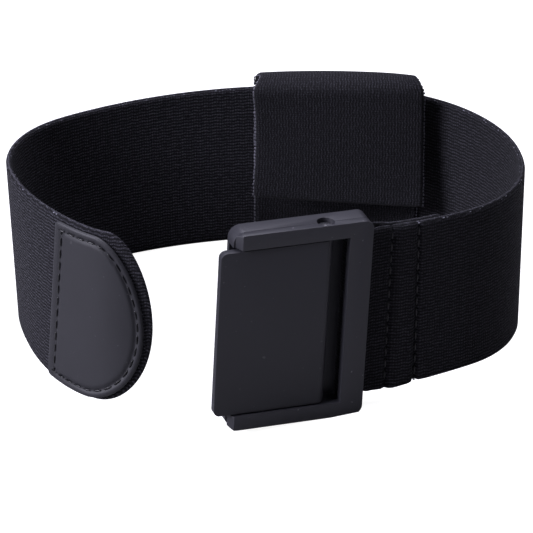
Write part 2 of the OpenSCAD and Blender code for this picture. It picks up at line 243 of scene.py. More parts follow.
class Wiring:
    def __init__(self, tree):
        self.tree = tree

    def put(self, socket, value):
        if isinstance(value, bpy.types.NodeSocket):
            self.tree.links.new(value, socket)
        else:
            socket.default_value = value

    def math(self, operation, *values):
        node = self.tree.nodes.new("ShaderNodeMath")
        node.operation = operation
        for socket, value in zip(node.inputs, values):
            self.put(socket, value)
        return node.outputs[0]

    def mix(self, factor, a, b):
        node = self.tree.nodes.new("ShaderNodeMix")
        node.data_type = "RGBA"
        self.put(node.inputs[0], factor)
        self.put(node.inputs[6], a)
        self.put(node.inputs[7], b)
        return node.outputs[2]

    def noise(self, vector, scale, detail=2.0, roughness=0.5):
        node = self.tree.nodes.new("ShaderNodeTexNoise")
        self.put(node.inputs["Vector"], vector)
        self.put(node.inputs["Scale"], scale)
        self.put(node.inputs["Detail"], detail)
        self.put(node.inputs["Roughness"], roughness)
        return node.outputs[0]

    def ramp(self, value, low, high):
        node = self.tree.nodes.new("ShaderNodeMapRange")
        node.interpolation_type = "SMOOTHSTEP"
        self.put(node.inputs[0], value)
        self.put(node.inputs[1], low)
        self.put(node.inputs[2], high)
        return node.outputs[0]


def makeWeaveGroup():
    # Ribbed elastic: wavy courses along the web, crossed by fine warp yarns. Map in metres.
    group, given, result = newGroup(
        "elasticWeave",
        [
            ("Course", "NodeSocketFloat", 0.75),
            ("Yarn", "NodeSocketFloat", 0.85),
            ("Wave", "NodeSocketFloat", 0.2),
            ("Wave Length", "NodeSocketFloat", 1.1),
            ("Rib", "NodeSocketFloat", 0.8),
            ("Dark", "NodeSocketColor", (0.01, 0.01, 0.012, 1)),
            ("Light", "NodeSocketColor", (0.04, 0.04, 0.05, 1)),
            ("Fleck", "NodeSocketFloat", 0.3),
            # painted shade: how strongly the colour is darkened near the web's buckle end
            ("Painted Shade", "NodeSocketFloat", 0.0),
        ],
        [("Color", "NodeSocketColor"), ("Height", "NodeSocketFloat"), ("Roughness", "NodeSocketFloat")],
    )
    w = Wiring(group)
    uv = group.nodes.new("ShaderNodeUVMap")
    uv.uv_map = "weaveMap"
    split = group.nodes.new("ShaderNodeSeparateXYZ")
    group.links.new(uv.outputs[0], split.inputs[0])
    u = w.math("MULTIPLY", split.outputs[0], 1000.0)
    v = w.math("MULTIPLY", split.outputs[1], 1000.0)
    tau = 2 * math.pi
    grain = group.nodes.new("ShaderNodeCombineXYZ")
    w.put(grain.inputs[0], u)
    w.put(grain.inputs[1], v)
    long = group.nodes.new("ShaderNodeCombineXYZ")
    w.put(long.inputs[0], w.math("MULTIPLY", u, 0.45))
    w.put(long.inputs[1], v)
    drift = w.math("SUBTRACT", w.noise(grain.outputs[0], 0.8, 2.0), 0.5)
    ripple = w.math("SINE", w.math("DIVIDE", w.math("MULTIPLY", u, tau), given.outputs["Wave Length"]))
    bend = w.math("MULTIPLY_ADD", drift, 4.0, ripple)
    shifted = w.math("ADD", v, w.math("MULTIPLY", bend, given.outputs["Wave"]))
    rib = w.math("SINE", w.math("DIVIDE", w.math("MULTIPLY", shifted, tau), given.outputs["Course"]))
    rib = w.math("MULTIPLY_ADD", rib, 0.5, 0.5)
    yarnAt = w.math("DIVIDE", w.math("MULTIPLY", u, tau), given.outputs["Yarn"])
    yarnAt = w.math("ADD", yarnAt, w.math("MULTIPLY", w.math("ADD", rib, drift), 2.0))
    yarn = w.math("MULTIPLY_ADD", w.math("SINE", yarnAt), 0.5, 0.5)
    fibre = w.noise(grain.outputs[0], 4.2, 3.0, 0.75)
    dash = w.ramp(w.noise(long.outputs[0], 2.0, 2.0, 0.6), 0.36, 0.64)
    pepper = w.ramp(w.noise(grain.outputs[0], 3.4, 2.0, 0.7), 0.5, 0.7)
    body = w.math("MULTIPLY", rib, w.math("MULTIPLY_ADD", yarn, 0.5, 0.5))
    body = w.math("MULTIPLY", body, w.math("MULTIPLY_ADD", dash, 0.5, 0.5))
    body = w.math("MULTIPLY", body, given.outputs["Rib"])
    flecked = w.math("MULTIPLY", pepper, given.outputs["Fleck"])
    height = w.math("ADD", body, w.math("MULTIPLY_ADD", fibre, 0.55, w.math("MULTIPLY", flecked, 0.8)))
    tone = w.math("MINIMUM", w.math("MULTIPLY_ADD", fibre, 0.22, w.math("ADD", body, flecked)), 1.0)
    tone = w.math("POWER", tone, 1.9)
    # painted shade: the colour is darkened over the web's first 60 mm beside the buckle, where that side
    # faces away from the key light; the darkening eases off by 165 mm along the web
    paintedShadeMask = w.math("SUBTRACT", 1.0, w.ramp(u, 60.0, 165.0))
    unshadedShare = w.math("SUBTRACT", 1.0, w.math("MULTIPLY", paintedShadeMask, given.outputs["Painted Shade"]))
    tone = w.math("MULTIPLY", tone, unshadedShare)
    w.put(result.inputs["Color"], w.mix(tone, given.outputs["Dark"], given.outputs["Light"]))
    w.put(result.inputs["Height"], height)
    w.put(result.inputs["Roughness"], w.math("MULTIPLY_ADD", fibre, -0.2, 0.95))
    return group


def makeGrainGroup():
    # Fine moulded or pressed grain, with a few pale specks of dust. Object coordinates.
    group, given, result = newGroup(
        "surfaceGrain",
        [
            ("Scale", "NodeSocketFloat", 4000.0),
            ("Dark", "NodeSocketColor", (0.03, 0.03, 0.03, 1)),
            ("Light", "NodeSocketColor", (0.05, 0.05, 0.05, 1)),
            ("Dust", "NodeSocketFloat", 0.2),
            ("Roughness Low", "NodeSocketFloat", 0.4),
            ("Roughness High", "NodeSocketFloat", 0.6),
        ],
        [("Color", "NodeSocketColor"), ("Height", "NodeSocketFloat"), ("Roughness", "NodeSocketFloat")],
    )
    w = Wiring(group)
    place = group.nodes.new("ShaderNodeTexCoord").outputs["Object"]
    fine = w.noise(place, given.outputs["Scale"], 3.0, 0.6)
    broad = w.noise(place, 160.0, 3.0, 0.55)
    speck = w.noise(place, 900.0, 1.0, 0.5)
    dust = w.math("MULTIPLY", w.ramp(speck, 0.74, 0.8), given.outputs["Dust"])
    tone = w.math("MULTIPLY_ADD", broad, 0.7, w.math("MULTIPLY", fine, 0.3))
    plain = w.mix(tone, given.outputs["Dark"], given.outputs["Light"])
    w.put(result.inputs["Color"], w.mix(dust, plain, (0.35, 0.35, 0.36, 1)))
    w.put(result.inputs["Height"], fine)
    spread = w.math("SUBTRACT", given.outputs["Roughness High"], given.outputs["Roughness Low"])
    w.put(result.inputs["Roughness"], w.math("MULTIPLY_ADD", broad, spread, given.outputs["Roughness Low"]))
    return group


weaveGroup = makeWeaveGroup()
grainGroup = makeGrainGroup()


def newMaterial(name, group, values, bumpDistance, bumpStrength, fixed):
    material = bpy.data.materials.new(name)
    material.use_nodes = True
    tree = material.node_tree
    shader = next(n for n in tree.nodes if n.type == "BSDF_PRINCIPLED")
    pattern = tree.nodes.new("ShaderNodeGroup")
    pattern.node_tree = group
    for label, value in values.items():
        pattern.inputs[label].default_value = value
    bump = tree.nodes.new("ShaderNodeBump")
    bump.inputs["Distance"].default_value = bumpDistance
    bump.inputs["Strength"].default_value = bumpStrength
    tree.links.new(pattern.outputs["Height"], bump.inputs["Height"])
    tree.links.new(pattern.outputs["Color"], shader.inputs["Base Color"])
    tree.links.new(pattern.outputs["Roughness"], shader.inputs["Roughness"])
    tree.links.new(bump.outputs[0], shader.inputs["Normal"])
    for label, value in fixed.items():
        shader.inputs[label].default_value = value
    return material


def fabricMaterial(name, values, strength=0.9):
    fixed = {"Specular IOR Level": 0.12, "Sheen Weight": 0.02, "Sheen Roughness": 0.4}
    return newMaterial(name, weaveGroup, values, 0.28 * mm, strength, fixed)


# the outer web's colour is darkened near the buckle as painted shade
outerWeave = fabricMaterial("outerElastic", {
    "Dark": (0.002, 0.002, 0.0025, 1), "Light": (0.054, 0.053, 0.064, 1), "Fleck": 0.4,
    "Wave": 0.08, "Wave Length": 2.6, "Yarn": 0.62, "Rib": 1.0, "Course": 0.8, "Painted Shade": 0.42,
})
innerWeave = fabricMaterial("pocketElastic", {
    "Dark": (0.002, 0.002, 0.0025, 1), "Light": (0.038, 0.0375, 0.0455, 1), "Fleck": 0.6,
    "Wave": 0.1, "Wave Length": 1.9, "Course": 0.7, "Yarn": 0.55, "Rib": 0.7,
})
selvageYarn = newMaterial("selvageYarn", grainGroup, {
    "Scale": 3000.0, "Dark": (0.02, 0.02, 0.025, 1), "Light": (0.15, 0.15, 0.18, 1),
    "Dust": 0.0, "Roughness Low": 0.5, "Roughness High": 0.7,
}, 0.05 * mm, 0.5, {"Specular IOR Level": 0.4})
threadMaterial = newMaterial("sewingThread", grainGroup, {
    "Scale": 5000.0, "Dark": (0.0015, 0.0015, 0.0018, 1), "Light": (0.004, 0.004, 0.005, 1),
    "Dust": 0.0, "Roughness Low": 0.2, "Roughness High": 0.45,
}, 0.04 * mm, 0.5, {"Specular IOR Level": 0.4})
facingLeather = newMaterial("tongueLeather", grainGroup, {
    "Scale": 2600.0, "Dark": (0.008, 0.008, 0.01, 1), "Light": (0.0125, 0.0125, 0.0155, 1),
    "Dust": 0.08, "Roughness Low": 0.52, "Roughness High": 0.62,
}, 0.04 * mm, 0.5, {"Specular IOR Level": 0.38})
bucklePlastic = newMaterial("bucklePlastic", grainGroup, {
    "Scale": 5200.0, "Dark": (0.014, 0.014, 0.017, 1), "Light": (0.02, 0.02, 0.0245, 1),
    "Dust": 0.3, "Roughness Low": 0.44, "Roughness High": 0.54,
}, 0.04 * mm, 0.5, {"Specular IOR Level": 0.38})
leverPlastic = newMaterial("leverPlastic", grainGroup, {
    "Scale": 5200.0, "Dark": (0.0125, 0.0125, 0.0155, 1), "Light": (0.0168, 0.0168, 0.0207, 1),
    "Dust": 0.12, "Roughness Low": 0.48, "Roughness High": 0.58,
}, 0.04 * mm, 0.5, {"Specular IOR Level": 0.38})
pinMaterial = newMaterial("pinBlack", grainGroup, {
    "Scale": 4000.0, "Dark": (0.02, 0.02, 0.022, 1), "Light": (0.04, 0.04, 0.044, 1),
    "Dust": 0.1, "Roughness Low": 0.3, "Roughness High": 0.42,
}, 0.02 * mm, 0.3, {"Specular IOR Level": 0.6})
padPile = newMaterial("padPile", grainGroup, {
    "Scale": 2500.0, "Dark": (0.004, 0.004, 0.0045, 1), "Light": (0.016, 0.016, 0.018, 1),
    "Dust": 0.0, "Roughness Low": 0.85, "Roughness High": 0.95,
}, 0.25 * mm, 0.9, {"Specular IOR Level": 0.15, "Sheen Weight": 0.08})
padBacking = newMaterial("padBacking", grainGroup, {
    "Scale": 1800.0, "Dark": (0.003, 0.003, 0.0035, 1), "Light": (0.012, 0.012, 0.0145, 1),
    "Dust": 0.0, "Roughness Low": 0.8, "Roughness High": 0.92,
}, 0.1 * mm, 0.8, {"Specular IOR Level": 0.2})
print("materials made")


def socketOf(tree, label):
    for item in tree.interface.items_tree:
        if item.item_type == "SOCKET" and item.in_out == "INPUT" and item.name == label:
            return item.identifier
    raise KeyError(label)


def makeRowTree():
    # Beads or stitches set out at an even pitch along every line of the mesh
    tree = bpy.data.node_groups.new("rowOfStitches", "GeometryNodeTree")
    tree.interface.new_socket(name="Geometry", in_out="INPUT", socket_type="NodeSocketGeometry")
    for label, value in (("Pitch", 0.0028), ("Length", 0.0021), ("Thickness", 0.0005), ("Flatness", 0.8)):
        socket = tree.interface.new_socket(name=label, in_out="INPUT", socket_type="NodeSocketFloat")
        socket.default_value = value
    for label in ("Jitter", "Seed"):
        kind = "NodeSocketFloat" if label == "Jitter" else "NodeSocketInt"
        tree.interface.new_socket(name=label, in_out="INPUT", socket_type=kind)
    tree.interface.new_socket(name="Material", in_out="INPUT", socket_type="NodeSocketMaterial")
    tree.interface.new_socket(name="Geometry", in_out="OUTPUT", socket_type="NodeSocketGeometry")
    nodes, links = tree.nodes, tree.links
    given, result = nodes.new("NodeGroupInput"), nodes.new("NodeGroupOutput")
    toCurve = nodes.new("GeometryNodeMeshToCurve")
    points = nodes.new("GeometryNodeCurveToPoints")
    points.mode = "LENGTH"
    bead = nodes.new("GeometryNodeMeshUVSphere")
    bead.inputs["Segments"].default_value = 8
    bead.inputs["Rings"].default_value = 7
    bead.inputs["Radius"].default_value = 0.5
    place = nodes.new("GeometryNodeInstanceOnPoints")
    size = nodes.new("ShaderNodeCombineXYZ")
    flat = nodes.new("ShaderNodeMath")
    flat.operation = "MULTIPLY"
    wobble = nodes.new("FunctionNodeRandomValue")
    wobble.data_type = "FLOAT_VECTOR"
    spread = nodes.new("ShaderNodeVectorMath")
    spread.operation = "SCALE"
    spread.inputs[0].default_value = (1, 1, 1)
    below = nodes.new("ShaderNodeVectorMath")
    below.operation = "SCALE"
    below.inputs[0].default_value = (-1, -1, -1)
    shift = nodes.new("GeometryNodeSetPosition")
    realize = nodes.new("GeometryNodeRealizeInstances")
    paint = nodes.new("GeometryNodeSetMaterial")
    shade = nodes.new("GeometryNodeSetShadeSmooth")
    links.new(given.outputs["Geometry"], toCurve.inputs["Mesh"])
    links.new(toCurve.outputs["Curve"], points.inputs["Curve"])
    links.new(given.outputs["Pitch"], points.inputs["Length"])
    links.new(given.outputs["Jitter"], spread.inputs["Scale"])
    links.new(given.outputs["Jitter"], below.inputs["Scale"])
    links.new(spread.outputs[0], wobble.inputs["Max"])
    links.new(below.outputs[0], wobble.inputs["Min"])
    links.new(given.outputs["Seed"], wobble.inputs["Seed"])
    links.new(points.outputs["Points"], shift.inputs["Geometry"])
    links.new(wobble.outputs[0], shift.inputs["Offset"])
    links.new(shift.outputs[0], place.inputs["Points"])
    links.new(points.outputs["Rotation"], place.inputs["Rotation"])
    links.new(bead.outputs["Mesh"], place.inputs["Instance"])
    links.new(given.outputs["Thickness"], flat.inputs[0])
    links.new(given.outputs["Flatness"], flat.inputs[1])
    links.new(given.outputs["Thickness"], size.inputs[0])
    links.new(flat.outputs[0], size.inputs[1])
    links.new(given.outputs["Length"], size.inputs[2])
    links.new(size.outputs[0], place.inputs["Scale"])
    links.new(place.outputs[0], realize.inputs[0])
    links.new(realize.outputs[0], shade.inputs["Geometry"])
    links.new(shade.outputs[0], paint.inputs["Geometry"])
    links.new(given.outputs["Material"], paint.inputs["Material"])
    links.new(paint.outputs[0], result.inputs["Geometry"])
    return tree


rowTree = makeRowTree()


def rowAlong(name, lines, settings, material):
    # lines: lists of points; each becomes a row of beads or stitches
    mesh = bpy.data.meshes.new(name + "Line")
    vertices, edges = [], []
    for line in lines:
        first = len(vertices)
        vertices += [tuple(p) for p in line]
        edges += [(first + i, first + i + 1) for i in range(len(line) - 1)]
    mesh.from_pydata(vertices, edges, [])
    holder = bpy.data.objects.new(name + "Line", mesh)
    bpy.context.scene.collection.objects.link(holder)
    modifier = holder.modifiers.new("row", "NODES")
    modifier.node_group = rowTree
    for label, value in settings.items():
        modifier[socketOf(rowTree, label)] = value
    modifier[socketOf(rowTree, "Material")] = material
    graph = bpy.context.evaluated_depsgraph_get()
    made = bpy.data.meshes.new_from_object(holder.evaluated_get(graph), preserve_all_data_layers=False)
    bpy.data.objects.remove(holder)
    piece = bpy.data.objects.new(name, made)
    bpy.context.scene.collection.objects.link(piece)
    return piece


selvage = {"pitch": 0.85 * mm, "length": 0.66 * mm, "thickness": 0.36 * mm, "jitter": 0.09 * mm,
           "inset": 0.12 * mm, "apart": 0.25}


def selvageRow(name, lines):
    settings = {
        "Pitch": selvage["pitch"], "Length": selvage["length"], "Thickness": selvage["thickness"],
        "Flatness": 0.9, "Jitter": selvage["jitter"], "Seed": 7,
    }
    return rowAlong(name, lines, settings, selvageYarn)


sewnFold = {
    "rows": (3.3 * mm, 10.2 * mm),  # stitch rows, along the web from the flexing line
    "endAt": 15.8 * mm,
    "spread": 1.1 * mm,
    "layGap": 0.06 * mm,
    "pitch": 2.8 * mm,
    "stitchLength": 2.2 * mm,
    "thread": 0.5 * mm,
    "groove": 0.75 * mm,
    "grooveWidth": 0.5 * mm,
    "pillow": 0.4 * mm,
    "margin": 2.2 * mm,
    "droop": 1.3 * mm,
}


def foldRelief(s, h):
    # The outer face near the stitch rows: pulled in at each stitch, pillowed between the rows
    rows, groove = sewnFold["rows"], sewnFold["groove"]
    relief = np.zeros(np.broadcast(s, h).shape)
    for at in rows:
        near = np.exp(-((s - at) / sewnFold["grooveWidth"]) ** 2)
        pull = 0.72 + 0.28 * np.cos(2 * math.pi * h / sewnFold["pitch"])
        relief -= groove * near * pull
    between = smoothStep(rows[0], rows[0] + 2 * mm, s) * (1 - smoothStep(rows[1] - 2 * mm, rows[1], s))
    relief += sewnFold["pillow"] * between
    after = smoothStep(rows[1], rows[1] + 1.5 * mm, s)
    after = after * (1 - smoothStep(rows[1] + 2 * mm, rows[1] + 6 * mm, s))
    relief += 0.12 * mm * after
    return relief


widthSteps = 40
acrossWeb = np.linspace(-1, 1, widthSteps + 1)
halfWidth = web["width"] / 2
edgeRoom = web["thickness"] / 2


def foldDroop(s):
    # The crowded layers beside the buckle hang a little lower along their bottom edge
    grows = smoothStep(-3.2 * mm, -0.5 * mm, s)
    eases = 1 - 0.75 * smoothStep(2 * mm, 12 * mm, s)
    ends = 1 - smoothStep(12 * mm, 24 * mm, s)
    return sewnFold["droop"] * grows * eases * ends


def webGrid(stations, halfHeights, offset=0.0):
    s = stations[:, None]
    h = acrossWeb[None, :] * halfHeights[:, None]
    h = h + np.minimum(h, 0) / halfWidth * foldDroop(s)
    grid = webPoint(s, h, offset)
    uv = np.stack(np.broadcast_arrays(s, h), -1)
    return grid, uv, s, h


def selvageLines(stations, halfHeights, offset=0.0):
    lines = []
    for side in (-1, 1):
        droop = foldDroop(stations) if side < 0 else 0
        lines.append(webPoint(stations, side * halfHeights - droop, offset))
    return lines


splitAt = 127.8 * mm  # the web's two long pieces meet under the pocket's seam
fullHalf = halfWidth + 0.25 * mm - edgeRoom


def makeWebMain():
    near = sewnFold["rows"][1] + 6 * mm  # finer stations where the cloth is drawn in
    fine, rest = stationList(sewnFold["rows"][1], near, 0.25 * mm), stationList(near, splitAt, 0.7 * mm)
    stations = np.concatenate([fine, rest[1:]])
    halves = np.full(len(stations), fullHalf)
    grid, uv, s, h = webGrid(stations, halves)
    piece = slab("webMain", grid, web["thickness"], uv, front=foldRelief(s, h))
    piece.data.materials.append(outerWeave)
    outwards(piece)
    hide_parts("elastic_band")
    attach(piece, "strap")
    return piece


tongue = {
    "reach": 12.2 * mm,  # how far the rounded end runs along the web
    "longer": 0.3 * mm,
    "hingeReach": 8 * mm,
    "facingLength": 24 * mm,
    "facingThickness": 1.0 * mm,
    "tipMargin": 1.95 * mm,
    "topMargin": 1.2 * mm,
    "lowMargin": 0.3 * mm,
    "facingReach": 12.4 * mm,
    "rootCorner": 1.2 * mm,
    "rootTurn": 1,  # degrees: the facing sits a little askew
    "tipTurn": 2.6,
    "seam": (2.2 * mm, 1.15 * mm, 1.6 * mm),  # from the straight edge, the tip, and the sides
    "groove": 0.36 * mm,
    "rim": 0.04 * mm,
}


def endHalf(x, length, half, reach, root=0.0):
    # Half the height of a round end at x from its straight edge
    over = np.clip((x - (length - reach)) / reach, 0, 1)
    under = np.clip(root - x, 0, root)
    return half * np.sqrt(1 - over ** 2) - root + np.sqrt(np.maximum(root ** 2 - under ** 2, 0))


def endStations(length, reach, root=0.0, step=0.5 * mm):
    turn = length - reach + reach * np.sin(np.linspace(0, 0.975 * math.pi / 2, 40))
    straight = stationList(root, length - reach, step)
    foot = root - root * np.sin(np.linspace(math.pi / 2, 0, 7))
    return np.concatenate([foot[:-1] if root > 0 else foot[:0], straight[:-1], turn])


def makeWebTail():
    length = webEnd + tongue["longer"] - splitAt - edgeRoom
    reach = tongue["reach"] - edgeRoom
    x = endStations(length, reach, step=0.7 * mm)
    halves = endHalf(x, length, fullHalf, reach)
    h = acrossWeb[None, :] * halves[:, None] + 0.3 * mm * smoothStep(length - 30 * mm, length, x)[:, None]
    s = splitAt + x[:, None] + 0 * h
    grid = webPoint(s, h, 0.0)
    uv = np.stack(np.broadcast_arrays(s, h), -1)
    piece = slab("webTail", grid, web["thickness"], uv)
    piece.data.materials.append(outerWeave)
    outwards(piece)
    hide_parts("band_tail")
    length = webEnd - splitAt
    reach = tongue["hingeReach"]
    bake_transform(piece)
    return piece


def fromBuckle(x, y, z=0.0):
    # A place given in the buckle's own frame, in mm: x to the right, y inwards, z up
    turn, lean = math.radians(buckleSeat["turn"]), math.radians(buckleSeat["lean"])
    lx, lz = x * math.cos(lean) + z * math.sin(lean), -x * math.sin(lean) + z * math.cos(lean)
    px = buckleSeat["middle"][0] + lx * math.cos(turn) - y * math.sin(turn)
    py = buckleSeat["middle"][1] + lx * math.sin(turn) + y * math.cos(turn)
    return np.array([px, py, 20 + lz]) * mm


buckleUp = unit(fromBuckle(0, 0, 1) - fromBuckle(0, 0, 0))
loopRound = {"barX": 10.3, "barY": 1.55, "radiusX": 2.15, "radiusY": 1.85, "steps": 16}


def resampled(points, length, even, width, step):
    return np.stack([softened(np.interp(even, length, points[:, i]), width, step) for i in range(3)], 1)


def makeEndLoop():
    gap = sewnFold["layGap"]
    t = web["thickness"]
    outer = stationList(sewnFold["rows"][1], 0, 0.5 * mm)
    outerPoints = webPoint(outer, 0.0, 0.0)
    outerAcross = onCourse("across", outer)
    inner = stationList(0, sewnFold["endAt"], 0.5 * mm)
    parted = gap + sewnFold["spread"] * np.clip(1 - inner / sewnFold["rows"][0], 0, 1)
    innerPoints = webPoint(inner, 0.0, -(t + parted))
    innerAcross = onCourse("across", inner)
    bend = np.linspace(-math.pi / 2, -3 * math.pi / 2, loopRound["steps"] + 1)
    x = loopRound["barX"] + loopRound["radiusX"] * np.cos(bend)
    y = loopRound["barY"] + loopRound["radiusY"] * np.sin(bend)
    roundPoints = np.array([fromBuckle(a, b) for a, b in zip(x, y)])
    roundAcross = np.repeat(buckleUp[None], len(roundPoints), 0)
    line = np.concatenate([outerPoints, roundPoints, innerPoints])
    across = np.concatenate([outerAcross, roundAcross, innerAcross])
    steps = np.linalg.norm(np.diff(line, axis=0), axis=1)
    length = np.concatenate([[0], np.cumsum(steps)])
    step = 0.25 * mm
    even = stationList(0, length[-1], step)
    line = resampled(line, length, even, 0.7 * mm, step)
    across = unit(resampled(across, length, even, 2 * mm, step))
    line[0], line[-1] = outerPoints[0], innerPoints[-1]
    s = (sewnFold["rows"][1] - even)[:, None]
    h = acrossWeb[None, :] * fullHalf
    h = h + np.minimum(h, 0) / halfWidth * foldDroop(abs(s + 2.4 * mm) - 2.4 * mm)
    grid = line[:, None] + across[:, None] * h[..., None]
    uv = np.stack(np.broadcast_arrays(s, h), -1)
    relief = np.where(s > 0, foldRelief(s, h), 0)
    piece = slab("endLoop", grid, t, uv, back=relief)
    piece.data.materials.append(outerWeave)
    outwards(piece)
    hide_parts("end_loop", "folded_end")
    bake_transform(piece)
    return piece


def makeFoldStitches():
    lines = []
    for at in sewnFold["rows"]:
        h = np.linspace(-1, 1, 40) * (halfWidth - sewnFold["margin"])
        relief = foldRelief(np.full(h.shape, at), h)
        lines.append(webPoint(at, h, web["thickness"] / 2 + relief.mean() + 0.12 * mm))
    settings = {
        "Pitch": sewnFold["pitch"], "Length": sewnFold["stitchLength"], "Thickness": sewnFold["thread"],
    }
    piece = rowAlong("foldStitches", lines, settings, threadMaterial)
    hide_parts("fold_stitches")
    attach(piece, "strap")


facingHalf = (web["width"] - tongue["topMargin"] - tongue["lowMargin"]) / 2
facingMiddle = (tongue["lowMargin"] - tongue["topMargin"]) / 2
facingRoot = webEnd - tongue["tipMargin"] - tongue["facingLength"]


def facingPlace(x, y):
    # Station and height of a place on the facing: x from its straight edge, y from its middle
    share = np.clip(x / tongue["facingLength"], 0, 1)
    turn = np.radians(tongue["rootTurn"] + (tongue["tipTurn"] - tongue["rootTurn"]) * share)
    return facingRoot + x - np.tan(turn) * y, facingMiddle + 0.2 * mm + y


def makeFacing():
    t, edge = tongue["facingThickness"], 0.3 * mm
    length, reach, root = tongue["facingLength"], tongue["facingReach"], tongue["rootCorner"]
    x = edge + endStations(length - 2 * edge, reach - edge, root - edge, 0.35 * mm)
    halves = endHalf(x - edge, length - 2 * edge, facingHalf - edge, reach - edge, root - edge)
    y = np.linspace(-1, 1, 91)[None, :] * halves[:, None]
    xx = x[:, None] + 0 * y
    s, h = facingPlace(xx, y)
    grid = webPoint(s, h, web["thickness"] / 2 + t / 2 + 0.05 * mm)
    # distance in from the outline, for the seam's groove and the rim
    over = np.maximum(xx - (length - reach), 0) / reach
    radial = np.hypot(over, y / facingHalf)
    pinch = np.hypot(over / reach, y / facingHalf ** 2)
    inRound = (1 - radial) * radial / np.maximum(pinch, 1e-6)
    inside = np.minimum(np.where(over > 0, inRound, facingHalf - abs(y)), xx)
    seam = np.where(xx < 3 * mm, tongue["seam"][0], tongue["seam"][2])
    seam = np.where(xx > length - 6 * mm, tongue["seam"][1] + 0.3 * mm, seam)
    groove = -tongue["groove"] * np.exp(-((inside - seam) / (0.5 * mm)) ** 2)
    rim = tongue["rim"] * np.exp(-((inside - 0.8 * mm) / (0.5 * mm)) ** 2)
    rounded = -0.22 * mm * np.clip(1 - inside / (0.5 * mm), 0, 1) ** 2
    uv = np.stack(np.broadcast_arrays(s, h), -1)
    piece = slab("tongueFacing", grid, t, uv, front=groove + rim + rounded)
    piece.data.materials.append(facingLeather)
    outwards(piece)
    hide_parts("tongue_facing")
    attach(piece, "tail")


def makeTongueStitches():
    rootIn, tipIn, sideIn = tongue["seam"]
    length = tongue["facingLength"] - tipIn
    half = facingHalf - sideIn
    reach = tongue["facingReach"] - tipIn
    lineUp = [(rootIn, y) for y in np.linspace(-half, half, 60)]
    around = [(x, half) for x in np.linspace(rootIn, length - reach, 20)[:-1]]
    for a in np.linspace(math.pi / 2, -math.pi / 2, 90):
        around.append((length - reach + reach * math.cos(a), half * math.sin(a)))
    around += [(x, -half) for x in np.linspace(length - reach, rootIn, 20)[1:]]
    offset = web["thickness"] / 2 + tongue["facingThickness"] - 0.04 * mm
    lines = []
    for path in (lineUp, around):
        x, y = np.array(path).T
        s, h = facingPlace(x, y)
        lines.append(webPoint(s, h, offset))
    settings = {"Pitch": sewnFold["pitch"], "Length": 2.2 * mm, "Thickness": 0.5 * mm}
    piece = rowAlong("tongueStitches", lines, settings, threadMaterial)
    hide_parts("tongue_stitches")
    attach(piece, "tail")


pocket = {
    "from": 93 * mm,
    "width": 40 * mm,
    "foldRise": 6.5 * mm,
    "flapY": 28.6 * mm,
    "flapX": 17.0 * mm,
    "turn": -2,
    "flapLength": 26.8 * mm,
    "foldZ": 41.96 * mm,
    "bulge": 1.0 * mm,
    "standOff": 2.4 * mm,  # how far the flap's lower right-hand corner stands away
    "tuck": 1.5 * mm,  # how far the fold's ends draw in
    "webGap": 0.1 * mm,
    "lean": 0.3 * mm,  # how far the back layer's top leans forward
    "seamIn": 4 * mm,
    "seamUp": 7 * mm,
    "seamStitches": (11, 7),  # along and up
}


def pocketLines(u):
    # For each place across the strip, u from 0 to 1: its back layer's foot on the web and its flap's x and y
    s = pocket["from"] + pocket["width"] * u
    turn = math.radians(pocket["turn"])
    # Stations run from right to left
    x = pocket["flapX"] + (0.5 - u) * pocket["width"] * math.cos(turn)
    y = pocket["flapY"] + (0.5 - u) * pocket["width"] * math.sin(turn)
    return s, x, y


flapBottom = pocket["foldZ"] - pocket["flapLength"] - 0.4 * mm


def flapRow(u, z):
    # The flap's middle surface at height z: it swells in its middle and stands off more at its foot
    s, x, y = pocketLines(u)
    side = 1 - 2 * u
    share = (pocket["foldZ"] - z) / (pocket["foldZ"] - flapBottom)
    x = x - 0.6 * mm * math.sin(math.pi * min(1, share + 0.1)) * np.minimum(side, 0)
    y = y - pocket["bulge"] * math.sin(math.pi * share) * (1 - side ** 2) - 0.3 * mm * share
    y = y - pocket["standOff"] * (1 - u) * share ** 1.5
    return np.stack([x, y, z - 0.5 * mm * side * share], 1)


def makePocketBack():
    t = web["thickness"]
    u = np.linspace(0, 1, 50)
    top = pocket["foldZ"] - halfWidth + 1.5 * mm
    h = stationList(-halfWidth + t / 2, top, 0.8 * mm)
    inset = edgeRoom / pocket["width"]
    s = pocket["from"] + pocket["width"] * (inset + (1 - 2 * inset) * u)
    grid = webPoint(s[None, :], h[:, None], -(t + pocket["webGap"]))
    lift = smoothStep(halfWidth - 2 * mm, top, h)[:, None]
    grid[..., 1] -= pocket["lean"] * lift
    uv = np.stack(np.broadcast_arrays(h[:, None], (s - s[0])[None, :]), -1)
    piece = slab("pocketBack", grid, t, uv)
    piece.data.materials.append(innerWeave)
    outwards(piece)
    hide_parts("pocket_back")
    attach(piece, "strap")
    edges = selvageRow("pocketBackSelvage", [grid[:, 0] * 2 - grid[:, 1], grid[:, -1] * 2 - grid[:, -2]])
    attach(edges, "strap")


